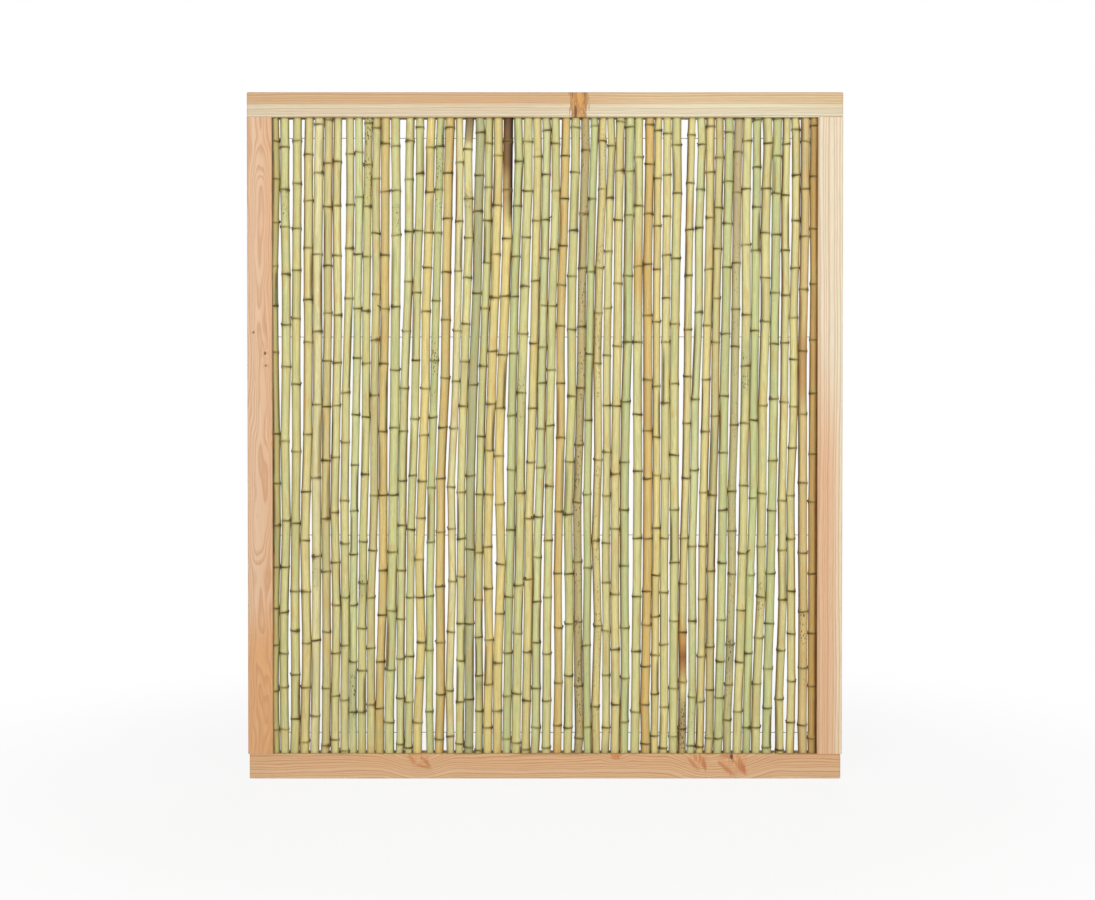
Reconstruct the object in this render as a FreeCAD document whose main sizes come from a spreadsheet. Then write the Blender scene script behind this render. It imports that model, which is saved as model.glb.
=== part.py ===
"""Bamboo fence panel: crooked canes threaded on wires and held in a grooved softwood frame.

X runs along the panel, Y through it with the front at -Y, and Z up. The origin is the middle of
the panel's underside. Lengths are millimetres.
"""
import FreeCAD
import Part
import Sketcher
import math
import os
import random

# Driving dimensions, each written once and kept in the sheet under its own name
SIZES = {
    "panel_width": 1560.0,
    "panel_height": 1800.0,
    "timber_face": 65.0,          # width of a rail or stile seen from the front
    "lip_thickness": 11.2,        # timber in front of and behind the groove
    "groove_depth": 15.0,
    "groove_clearance": 0.8,      # between the stoutest cane and each lip
    "arris_radius": 2.5,          # rounding of the long edges of the timber
    "bottom_rail_inset": 3.5,     # each end of the bottom rail stops short of the stile's face
    "tenon_clearance": 0.2,       # each side of a stub tenon in its groove
    "tenon_gap": 1.0,             # end of a stub tenon to the floor of its groove
    "cane_diameter": 22.6,        # mean girth of the canes
    "cane_spread": 2.4,           # most that a cane is stouter or thinner than the mean
    "cane_taper": 1.0,            # diameter lost along a cane
    "cane_gap": 3.1,              # mean gap between neighbours
    "least_gap": 0.2,             # gap that stays where neighbours bend towards each other
    "cane_bow": 2.0,              # most that a cane bows out of the panel's plane
    "cane_headroom": 2.0,         # top of a cane to the floor of the top groove
    "first_cane_inset": 4.0,      # first cane's axis from the left stile's edge
    "last_cane_inset": 9.0,       # last cane's axis from the right stile's edge
    "bend_spacing": 264.0,        # mean distance between the nodes at which a cane bends
    "bend_jog": 4.0,              # most that a bend lies to the left or right of the cane's line
    "wire_diameter": 2.0,
    "wire_clearance": 0.3,        # wire to the side of its hole
    "wire_margin": 52.0,          # outer wires from the rails' edges
    "wire_rows": 4,
    "wire_end_gap": 3.0,          # end of a wire to the floor of the stile's groove
    "nail_diameter": 5.0,
    "nail_length": 125.0,
    "nail_clearance": 0.1,        # nail to the side of its hole
}

# Gaps that stand out as wide, by the cane on their left: what they have beyond a common gap,
# as a share of the mean gap
WIDE_GAPS_TOP = {2: 2.8, 3: 2.0, 7: 2.5, 13: 4.4, 15: 2.0, 19: 1.8, 30: 2.1, 38: 1.3, 42: 5.1}
WIDE_GAPS_BOTTOM = {7: 2.1, 16: 3.8, 18: 2.1, 21: 2.1, 28: 1.8, 29: 1.5, 30: 1.2, 31: 1.0, 33: 1.0,
                    37: 1.6, 48: 1.3, 51: 1.3, 52: 3.3, 53: 1.2, 54: 3.3}

CANE_SIDES = 8          # each cane is a stack of eight-sided lengths with two flats facing its neighbours
WIDE_GAP_FADE = 2       # power at which a wide gap closes with the distance from its end of the canes
WIRE_SIDES = 8          # sides of each thin wire
CANE_FILES = 28         # files that the row of canes is shared out over, neighbours together
GAP_PLAY = 0.9          # how strongly a common gap widens and narrows along its height
GAP_WAVES = (0.3, 0.25, 0.25, 0.2)      # strength of no wave, half a wave, one wave and so on up a gap
GIRTH_PLAY = 0.02       # share by which a bend is stouter or thinner than its cane
SPACING_PLAY = 0.27     # share by which one cane's bends are closer or wider apart than another's
BEND_PLAY = 0.12        # share by which a length between bends differs from the next
JOG_SHARES = (1.0, 0.8, 0.6, 0.4, 0.2, 0.0)     # canes as straight as it takes for the row to fit its grooves
BEND_MARGIN = 14.0      # bends keep this far from a cane's ends and from its wire holes

# Corner radius of a section over the radius of the round cane that has the same area
CORNER_RATIO = math.sqrt(2 * math.pi / CANE_SIDES / math.sin(2 * math.pi / CANE_SIDES))

# Expressions that several pieces share
STOUTEST_CANE = f"((1 + {GIRTH_PLAY}) * (Sizes.cane_diameter + Sizes.cane_spread + Sizes.cane_taper / 2))"
GROOVE_WIDTH = f"({STOUTEST_CANE} + 2 * Sizes.groove_clearance)"
TIMBER_DEPTH = f"({GROOVE_WIDTH} + 2 * Sizes.lip_thickness)"
OPENING_WIDTH = "(Sizes.panel_width - 2 * Sizes.timber_face)"
OPENING_HEIGHT = "(Sizes.panel_height - 2 * Sizes.timber_face)"
WIRE_PITCH = f"(({OPENING_HEIGHT} - 2 * Sizes.wire_margin) / (Sizes.wire_rows - 1))"
CORNER_X = "(Sizes.panel_width / 2 - Sizes.timber_face / 2)"

doc = FreeCAD.newDocument("bamboo_fence_panel")


def make_sheet():
    """Write the driving dimensions into a sheet, one row each, and return their values."""
    sheet = doc.addObject("Spreadsheet::Sheet", "Sizes")
    for row, (name, value) in enumerate(SIZES.items(), start=1):
        sheet.set(f"A{row}", name)
        sheet.set(f"B{row}", str(value))
        sheet.setAlias(f"B{row}", name)
    doc.recompute()
    return {name: float(sheet.get(name)) for name in SIZES}


def bind(item, **expressions):
    """Bind properties to expressions; a double underscore in a name stands for a dot."""
    for name, expression in expressions.items():
        item.setExpression(name.replace("__", "."), expression)


def body_plane(body, role):
    """Return one of a body's own origin planes."""
    return next(plane for plane in body.Origin.OriginFeatures if plane.Role == role)


def centred_rectangle(body, name, role, wide, tall):
    """Sketch a rectangle about the origin of a body's plane, with its sides bound to expressions."""
    sketch = body.newObject("Sketcher::SketchObject", name)
    sketch.AttachmentSupport = [(body_plane(body, role), "")]
    sketch.MapMode = "FlatFace"
    corners = [FreeCAD.Vector(x, y, 0) for x, y in ((-1, -1), (1, -1), (1, 1), (-1, 1))]
    for start, end in zip(corners, corners[1:] + corners[:1]):
        sketch.addGeometry(Part.LineSegment(start, end))
    for side in range(4):
        sketch.addConstraint(Sketcher.Constraint("Coincident", side, 2, (side + 1) % 4, 1))
        sketch.addConstraint(Sketcher.Constraint("Vertical" if side % 2 else "Horizontal", side))
    sketch.addConstraint(Sketcher.Constraint("Symmetric", 0, 1, 2, 1, -1, 1))
    for side, (label, expression) in enumerate((("wide", wide), ("tall", tall))):
        number = sketch.addConstraint(Sketcher.Constraint("Distance", side, 2.0))
        sketch.renameConstraint(number, label)
        sketch.setExpression(f"Constraints.{label}", expression)
    return sketch


def pad_both_ways(body, name, sketch, length):
    """Pad a sketch by half a length to each side of its plane."""
    pad = body.newObject("PartDesign::Pad", name)
    pad.Profile = sketch
    pad.SideType = "Symmetric"
    bind(pad, Length=length)
    return pad


def round_long_edges(body, blank):
    """Round the edges that run the whole length of a timber."""
    long_side = blank.Shape.BoundBox.ZLength
    edges = [f"Edge{number}" for number, edge in enumerate(blank.Shape.Edges, start=1)
             if abs(edge.Length - long_side) < 0.001 and abs(edge.tangentAt(edge.FirstParameter).z) > 0.999]
    fillet = body.newObject("PartDesign::Fillet", "arrises")
    fillet.Base = (blank, edges)
    bind(fillet, Radius="Sizes.arris_radius")


def grooved_timber(name, length, groove_length, tenon_length=None):
    """Make a timber along Z with its groove towards -X and, where asked for, a tenon at each end."""
    body = doc.addObject("PartDesign::Body", f"{name}_blank")
    section = centred_rectangle(body, "section", "XY_Plane", "Sizes.timber_face", TIMBER_DEPTH)
    blank = pad_both_ways(body, "length", section, length)
    doc.recompute()
    round_long_edges(body, blank)
    mouth = centred_rectangle(body, "groove_mouth", "YZ_Plane", GROOVE_WIDTH, groove_length)
    bind(mouth, AttachmentOffset__Base__z="-Sizes.timber_face / 2")
    groove = body.newObject("PartDesign::Pocket", "groove")
    groove.Profile = mouth
    groove.Reversed = True
    bind(groove, Length="Sizes.groove_depth")
    if tenon_length:
        root = centred_rectangle(body, "tenon_root", "XY_Plane", "Sizes.timber_face - 2 * Sizes.groove_depth",
                                 f"{GROOVE_WIDTH} - 2 * Sizes.tenon_clearance")
        pad_both_ways(body, "tenons", root, tenon_length)
    return body


def nail_form(name, play):
    """Make a headless round nail that points up from the outer face of a rail, stouter by some play."""
    nail = doc.addObject("Part::Cylinder", name)
    bind(nail, Radius=f"Sizes.nail_diameter / 2 + {play}", Height=f"Sizes.nail_length + {play}")
    return nail


def at_corner(item, side, at_top):
    """Stand a nail or its hole on the outer face of a rail, over the middle of a stile."""
    item.Placement.Rotation = FreeCAD.Rotation(FreeCAD.Vector(1, 0, 0), 180 if at_top else 0)
    bind(item, Placement__Base__x=f"{side} * {CORNER_X}")
    if at_top:
        bind(item, Placement__Base__z="Sizes.panel_height")


def group(name, pieces):
    """Keep separate solids together as one piece."""
    compound = doc.addObject("Part::Compound", name)
    compound.Links = pieces
    return compound


def bored(name, body, holes):
    """Bore a timber for its nails and return the finished piece."""
    cut = doc.addObject("Part::Cut", name)
    cut.Base = body
    cut.Tool = group(f"{name}_holes", holes)
    return cut


def make_frame():
    """Make the two rails, the two stiles between them and a nail at each corner."""
    corners = [(side, at_top) for at_top in (False, True) for side in (-1, 1)]
    holes = {}
    nails = []
    for side, at_top in corners:
        name = f"nail_{'top' if at_top else 'bottom'}_{'right' if side > 0 else 'left'}"
        nails.append(nail_form(name, "0"))
        holes[side, at_top] = nail_form(f"{name}_hole", "Sizes.nail_clearance")
        at_corner(nails[-1], side, at_top)
        at_corner(holes[side, at_top], side, at_top)
    pieces = []
    groove = "Sizes.panel_width - 2 * Sizes.groove_depth + 2 * Sizes.tenon_clearance"
    for at_top in (False, True):
        name = "top_rail" if at_top else "bottom_rail"
        length = "Sizes.panel_width" if at_top else "Sizes.panel_width - 2 * Sizes.bottom_rail_inset"
        rail = grooved_timber(name, length, groove)
        rail.Placement.Rotation = FreeCAD.Rotation(FreeCAD.Vector(0, 1, 0), -90 if at_top else 90)
        height = "Sizes.panel_height - Sizes.timber_face / 2" if at_top else "Sizes.timber_face / 2"
        bind(rail, Placement__Base__z=height)
        pieces.append(bored(name, rail, [holes[side, at_top] for side in (-1, 1)]))
    for side in (-1, 1):
        name = "right_stile" if side > 0 else "left_stile"
        stile = grooved_timber(name, OPENING_HEIGHT, OPENING_HEIGHT,
                               f"{OPENING_HEIGHT} + 2 * (Sizes.groove_depth - Sizes.tenon_gap)")
        stile.Placement.Rotation = FreeCAD.Rotation(FreeCAD.Vector(0, 0, 1), 0 if side > 0 else 180)
        bind(stile, Placement__Base__x=f"{side} * {CORNER_X}", Placement__Base__z="Sizes.panel_height / 2")
        pieces.append(bored(name, stile, [holes[side, at_top] for at_top in (False, True)]))
    return pieces + [group("corner_nails", nails)]


def make_wires():
    """Make the straight wires that thread the canes and end in the grooves of the stiles."""
    wires = []
    for row in range(wire_rows):
        wire = doc.addObject("Part::Prism", f"wire_{row + 1}")
        wire.Polygon = WIRE_SIDES
        reach = f"({OPENING_WIDTH} + 2 * (Sizes.groove_depth - Sizes.wire_end_gap))"
        wire.Placement.Rotation = FreeCAD.Rotation(FreeCAD.Vector(0, 1, 0), 90)
        bind(wire, Circumradius="Sizes.wire_diameter / 2", Height=reach, Placement__Base__x=f"-{reach} / 2",
             Placement__Base__z=f"Sizes.timber_face + Sizes.wire_margin + {row} * {WIRE_PITCH}")
        wires.append(wire)
    return wires


class Cane:
    """One cane: its girth, its bow, its bends and its share of the gap to the next cane."""

    def __init__(self, number):
        chance = random.Random(f"cane {number}")
        self.number = number
        self.girth = chance.uniform(-1, 1)
        self.butt_down = chance.choice((-1, 1))
        self.bow = chance.uniform(-1, 1)
        self.gap_waves = [strength * chance.uniform(-1, 1) for strength in GAP_WAVES]
        self.heights = self.place_bends(chance)
        self.jogs = [0.0] + [chance.uniform(-1, 1) for _ in self.heights[1:-1]] + [0.0]
        self.radii = [self.radius(share_of(height)) * (1 + GIRTH_PLAY * chance.uniform(-1, 1))
                      for height in self.heights]
        self.places = []

    def place_bends(self, chance):
        """Return the heights of the cane's lower end, its bends and its upper end."""
        step = size["bend_spacing"] * chance.uniform(1 - SPACING_PLAY, 1 + SPACING_PLAY)
        heights = [CANE_FOOT]
        height = CANE_FOOT + step * chance.uniform(0.1, 0.9)
        while height < CANE_TOP - BEND_MARGIN:
            wire = min(WIRE_HEIGHTS, key=lambda level: abs(level - height))
            if abs(height - wire) < BEND_MARGIN:
                height = wire + math.copysign(BEND_MARGIN, height - wire)
            if height - heights[-1] > BEND_MARGIN:
                heights.append(height)
            height += step * chance.uniform(1 - BEND_PLAY, 1 + BEND_PLAY)
        return heights + [CANE_TOP]

    def radius(self, share):
        """Return the radius at a share of the cane's height."""
        taper = self.butt_down * size["cane_taper"] * (0.5 - share)
        return (size["cane_diameter"] + size["cane_spread"] * self.girth + taper) / 2

    def gap(self, share):
        """Return the gap to the next cane at a share of the height: its wide part and its common part."""
        wide = ((1 - share) ** WIDE_GAP_FADE * WIDE_GAPS_BOTTOM.get(self.number, 0)
                + share ** WIDE_GAP_FADE * WIDE_GAPS_TOP.get(self.number, 0))
        wave = sum(part * math.cos(math.pi * halves * share) for halves, part in enumerate(self.gap_waves))
        return wide, math.exp(GAP_PLAY * wave)

    def length_at(self, height):
        """Return which straight length of the cane a height is on, and its share of that length."""
        lower = max(place for place, level in enumerate(self.heights[:-1]) if level <= height)
        low, high = self.heights[lower:lower + 2]
        return lower, (height - low) / (high - low)

    def at(self, values, height):
        """Return the value at a height, from the values at the ends and the bends."""
        lower, share = self.length_at(height)
        return (1 - share) * values[lower] + share * values[lower + 1]

    def keep_clear(self, left):
        """Move lengths to the right where they would come too close to the cane on the left."""
        for height in sorted(self.heights + left.heights):
            reach = self.at(self.radii, height) + left.at(left.radii, height) + size["least_gap"]
            shortage = left.at(left.places, height) + reach - self.at(self.places, height)
            if shortage > 0:
                lower, _ = self.length_at(height)
                self.places[lower] += shortage
                self.places[lower + 1] += shortage


def share_of(height):
    """Return a height as a share of the canes' height."""
    return (height - CANE_FOOT) / (CANE_TOP - CANE_FOOT)


def axis_places(canes, share):
    """Return each cane's X at a share of the height, so that girths and gaps fill the row."""
    start = size["first_cane_inset"] - opening_width / 2
    end = opening_width / 2 - size["last_cane_inset"]
    girths = 2 * sum(cane.radius(share) for cane in canes) - canes[0].radius(share) - canes[-1].radius(share)
    spare = end - start - girths
    gaps = [cane.gap(share) for cane in canes[:-1]]
    wide_unit = spare / len(gaps)
    common_unit = (spare - wide_unit * sum(wide for wide, _ in gaps)) / sum(common for _, common in gaps)
    places = [start]
    for cane, following, (wide, common) in zip(canes, canes[1:], gaps):
        step = cane.radius(share) + wide_unit * wide + common_unit * common + following.radius(share)
        places.append(places[-1] + step)
    return places


def settle(canes):
    """Give each cane its X at its ends and bends: its place in the row and its jogs, clear of its neighbour."""
    groove_floor = opening_width / 2 + size["groove_depth"] - size["least_gap"]
    for jog_share in JOG_SHARES:
        most = size["bend_jog"] * jog_share
        for index, cane in enumerate(canes):
            cane.places = [axis_places(canes, share_of(height))[index] + most * jog
                           for height, jog in zip(cane.heights, cane.jogs)]
            if index:
                cane.keep_clear(canes[index - 1])
        last_sides = [place + radius for place, radius in zip(cane.places, cane.radii)]
        if max(last_sides) < groove_floor:
            break


def cane_section(centre, corner):
    """Return a level outline about a point, with a flat towards each neighbouring cane."""
    points = []
    for side in range(CANE_SIDES + 1):
        turn = math.pi * (2 * side + 1) / CANE_SIDES
        points.append(centre + corner * FreeCAD.Vector(math.cos(turn), math.sin(turn), 0))
    return Part.makePolygon(points)


def cane_solid(cane, bow):
    """Loft a cane through a section at each bend and drill it for the wires."""
    rings = []
    for height, x, radius in zip(cane.heights, cane.places, cane.radii):
        y = bow * math.sin(math.pi * share_of(height))
        rings.append(cane_section(FreeCAD.Vector(x, y, height), CORNER_RATIO * radius))
    cane_body = Part.makeLoft(rings, True, True)
    hole = size["wire_diameter"] + 2 * size["wire_clearance"]
    reach = 2 * size["cane_diameter"]
    drills = []
    for level in WIRE_HEIGHTS:
        start = cane.at(cane.places, level) - reach / 2
        drills.append(Part.makeBox(reach, hole, hole, FreeCAD.Vector(start, -hole / 2, level - hole / 2)))
    return cane_body.cut(drills).Solids[0]


def make_canes():
    """Make the row of canes, with the neighbours that share a file as separate solids."""
    row = opening_width - size["first_cane_inset"] - size["last_cane_inset"]
    count = 1 + round(row / (size["cane_diameter"] + size["cane_gap"]))
    canes = [Cane(number) for number in range(1, count + 1)]
    settle(canes)
    bows = [0.0] + [size["cane_bow"] * cane.bow for cane in canes[1:-1]] + [0.0]
    pieces = []
    for part in range(CANE_FILES):
        members = range(part * count // CANE_FILES, (part + 1) * count // CANE_FILES)
        piece = doc.addObject("Part::Feature", f"canes_{part + 1:02d}")
        piece.Shape = Part.makeCompound([cane_solid(canes[index], bows[index]) for index in members])
        piece.Placement = FreeCAD.Placement()
        pieces.append(piece)
    return pieces


def write(pieces):
    """Check every object of the document and write each piece to its own file."""
    for item in doc.Objects:
        if "Invalid" in item.State or "Error" in item.State:
            raise RuntimeError(f"{item.Label} did not build: {item.State}")
    os.makedirs("parts", exist_ok=True)
    for piece in pieces:
        if piece.Shape.isNull() or not piece.Shape.isValid():
            raise RuntimeError(f"{piece.Label} has no sound shape")
        piece.Shape.exportStep(f"parts/{piece.Label}.step")


size = make_sheet()
opening_width = size["panel_width"] - 2 * size["timber_face"]
opening_height = size["panel_height"] - 2 * size["timber_face"]
CANE_FOOT = size["timber_face"] - size["groove_depth"]
CANE_TOP = size["panel_height"] - CANE_FOOT - size["cane_headroom"]
wire_rows = int(size["wire_rows"])
wire_pitch = (opening_height - 2 * size["wire_margin"]) / (wire_rows - 1)
WIRE_HEIGHTS = [size["timber_face"] + size["wire_margin"] + row * wire_pitch for row in range(wire_rows)]
everything = make_frame() + make_wires() + make_canes()
doc.recompute()
write(everything)
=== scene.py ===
"""Bamboo fence panel: round wired canes in a grooved softwood frame, on a white studio floor."""

import logging
import math
import random
from collections.abc import Callable
from dataclasses import dataclass
from enum import Enum
from functools import cache, partial

import bmesh
import bpy
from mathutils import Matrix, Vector


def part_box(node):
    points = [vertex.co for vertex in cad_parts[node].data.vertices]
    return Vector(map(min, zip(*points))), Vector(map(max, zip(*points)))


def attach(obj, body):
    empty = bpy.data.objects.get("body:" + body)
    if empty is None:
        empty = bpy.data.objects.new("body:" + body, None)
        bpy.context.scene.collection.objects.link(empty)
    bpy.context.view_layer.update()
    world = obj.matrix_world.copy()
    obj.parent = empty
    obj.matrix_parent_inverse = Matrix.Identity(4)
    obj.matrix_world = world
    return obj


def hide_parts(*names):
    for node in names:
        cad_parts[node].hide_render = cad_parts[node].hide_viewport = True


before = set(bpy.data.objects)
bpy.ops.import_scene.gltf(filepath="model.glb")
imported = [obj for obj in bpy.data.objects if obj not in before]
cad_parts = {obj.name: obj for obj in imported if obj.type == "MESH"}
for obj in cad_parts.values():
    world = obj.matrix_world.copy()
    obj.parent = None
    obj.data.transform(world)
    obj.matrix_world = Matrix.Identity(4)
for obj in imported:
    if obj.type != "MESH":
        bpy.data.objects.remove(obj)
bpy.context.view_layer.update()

LOG = logging.getLogger("bamboo_fence_panel")
MM = 0.001
# Corners of a CAD mesh that are closer than this are one corner.
WELD = 0.01 * MM
WHITE = (1.0, 1.0, 1.0, 1.0)

# Settings that many shader nodes share.
SOFT = {"interpolation_type": "SMOOTHSTEP"}
COLOURS = {"data_type": "RGBA"}
NodeAdder = Callable[..., bpy.types.NodeSocket]


class Grain(Enum):
    """The axis that a timber's fibres run along."""

    ACROSS_PANEL = "X"
    UP_PANEL = "Z"

    @property
    def face_axis(self) -> str:
        """Axis that crosses the timber's front face."""
        return "Z" if self is Grain.ACROSS_PANEL else "X"


class Tone(Enum):
    """Colour that a dried cane's skin has come to, as sRGB hex; the first cane's olive also holds painted
    shade.
    """

    # Painted shade: this darker olive puts the left stile's shade on the first cane.
    SHADED_OLIVE = "#A79F66"
    GREEN = "#C0C58A"
    GREY_GREEN = "#ABAA7D"
    PALE_GREEN = "#CDCE96"
    STRAW_GREEN = "#D3CB8D"
    STRAW = "#D7CA8B"
    PALE_STRAW = "#DBD09B"
    YELLOW = "#DAC681"
    BROWN_STRAW = "#CFB77E"
    ORANGE = "#CBA25A"
    GREY_BROWN = "#A89B72"


# One tone for each cane, from the left stile to the right one; the first cane's is darkened as painted shade.
ROW_TONES: tuple[Tone, ...] = (
    Tone.SHADED_OLIVE, Tone.STRAW_GREEN, Tone.GREEN, Tone.STRAW, Tone.PALE_STRAW,
    Tone.BROWN_STRAW, Tone.STRAW_GREEN, Tone.STRAW_GREEN, Tone.PALE_GREEN, Tone.GREEN,
    Tone.BROWN_STRAW, Tone.ORANGE, Tone.GREEN, Tone.PALE_GREEN, Tone.STRAW_GREEN,
    Tone.YELLOW, Tone.GREEN, Tone.ORANGE, Tone.PALE_STRAW, Tone.STRAW_GREEN,
    Tone.GREY_GREEN, Tone.GREEN, Tone.YELLOW, Tone.YELLOW, Tone.GREEN,
    Tone.STRAW, Tone.STRAW_GREEN, Tone.PALE_GREEN, Tone.STRAW_GREEN, Tone.ORANGE,
    Tone.GREEN, Tone.GREY_BROWN, Tone.GREEN, Tone.STRAW, Tone.STRAW,
    Tone.STRAW, Tone.GREEN, Tone.STRAW_GREEN, Tone.ORANGE, Tone.YELLOW,
    Tone.STRAW_GREEN, Tone.STRAW, Tone.STRAW, Tone.PALE_GREEN, Tone.STRAW,
    Tone.BROWN_STRAW, Tone.GREEN, Tone.GREY_GREEN, Tone.STRAW_GREEN, Tone.GREEN,
    Tone.STRAW_GREEN, Tone.GREEN, Tone.STRAW_GREEN, Tone.STRAW, Tone.BROWN_STRAW,
    Tone.ORANGE,
)


@cache
def linear(colour: str) -> tuple[float, float, float, float]:
    """Turn an sRGB hex colour to linear light.

    Args:
        colour: The colour as "#RRGGBB".

    Returns:
        Red, green, blue and an alpha of 1.
    """
    shares = [int(colour[i:i + 2], 16) / 255 for i in (1, 3, 5)]
    light = [c / 12.92 if c <= 0.04045 else ((c + 0.055) / 1.055) ** 2.4 for c in shares]
    return (light[0], light[1], light[2], 1.0)


def set_inputs(node: bpy.types.Node, links: dict) -> None:
    """Link or set a node's inputs.

    Args:
        node: The node.
        links: For each input's name or number, a socket to link or a value to set.
    """
    for key, source in links.items():
        if isinstance(source, bpy.types.NodeSocket):
            node.id_data.links.new(source, node.inputs[key])
        else:
            node.inputs[key].default_value = source


def add_node(
    tree: bpy.types.NodeTree, kind: str, links: dict | None = None, out: str | None = None, **settings: object
) -> bpy.types.NodeSocket:
    """Add a shader node with its settings and links.

    Args:
        tree: The node tree to add to.
        kind: Blender's name of the node type, without the ShaderNode that it starts with.
        links: For each input's name or number, a socket to link or a value to set.
        out: The name of the output that is wanted, where it isn't the first one in use.
        settings: The node's own properties.

    Returns:
        The output.
    """
    node = tree.nodes.new(f"ShaderNode{kind}")
    for name, value in settings.items():
        setattr(node, name, value)
    set_inputs(node, links or {})
    return node.outputs[out] if out else next(output for output in node.outputs if output.enabled)


def new_material(name: str) -> tuple[bpy.types.Material, bpy.types.Node, NodeAdder]:
    """Start a material.

    Args:
        name: Its name.

    Returns:
        The material, its surface shader, and add_node for its tree.
    """
    made = bpy.data.materials.new(name)
    made.use_nodes = True
    return made, made.node_tree.nodes["Principled BSDF"], partial(add_node, made.node_tree)


def stretched_noise(
    node: NodeAdder, place: bpy.types.NodeSocket, sizes: tuple, detail: float, roughness: float = 0.5
) -> bpy.types.NodeSocket:
    """Add noise with its own size along each axis.

    Args:
        node: Adds a node to the tree.
        place: Where to read the noise.
        sizes: The size of its clouds along X, Y and Z.
        detail: How many finer layers it has.
        roughness: How strong the finer layers are.

    Returns:
        The noise, about 0.3 to 0.7.
    """
    scaled = node("VectorMath", {0: place, 1: tuple(1 / size for size in sizes)}, operation="MULTIPLY")
    return node("TexNoise", {"Vector": scaled, "Scale": 1.0, "Detail": detail, "Roughness": roughness})


def smooth_step(value: float, low: float, high: float) -> float:
    """Rise softly from 0 at low to 1 at high.

    Args:
        value: The place to read.
        low: Where the rise starts.
        high: Where it ends.

    Returns:
        A share from 0 to 1.
    """
    share = min(max((value - low) / (high - low), 0.0), 1.0)
    return share * share * (3 - 2 * share)


def bell(value: float, spread: float) -> float:
    """Fall from 1 at a value of 0 to a third or so at the spread."""
    return math.exp(-((value / spread) ** 2))


def turn_from(middle: float, angle: float) -> float:
    """Measure an angle from another one, the short way round."""
    return math.atan2(math.sin(angle - middle), math.cos(angle - middle))


def mixed(first: tuple, second: tuple, share: float) -> tuple[float, ...]:
    """Mix two linear colours.

    Args:
        first: The colour at a share of 0.
        second: The colour at a share of 1.
        share: How much of the second colour there is.

    Returns:
        The mixed colour.
    """
    return tuple(a + (b - a) * share for a, b in zip(first, second))


def make_piece(
    look: str, name: str, mesh: bpy.types.Mesh, finish: bpy.types.Material, sharp_from: float
) -> None:
    """Put a mesh into the scene in place of a node of the CAD model.

    Args:
        look: The word that goes before the node's name in the piece's.
        name: The CAD node's name.
        mesh: The piece's mesh, in metres in the panel's frame.
        finish: Its material.
        sharp_from: The angle in degrees from which its edges stay sharp.
    """
    piece = bpy.data.objects.new(f"{look}_{name}", mesh)
    bpy.context.scene.collection.objects.link(piece)
    mesh.materials.append(finish)
    mesh.shade_smooth()
    mesh.set_sharp_from_angle(angle=math.radians(sharp_from))
    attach(piece, "root")
    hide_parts(name)
    LOG.info("%s: %d faces", piece.name, len(mesh.polygons))


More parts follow.
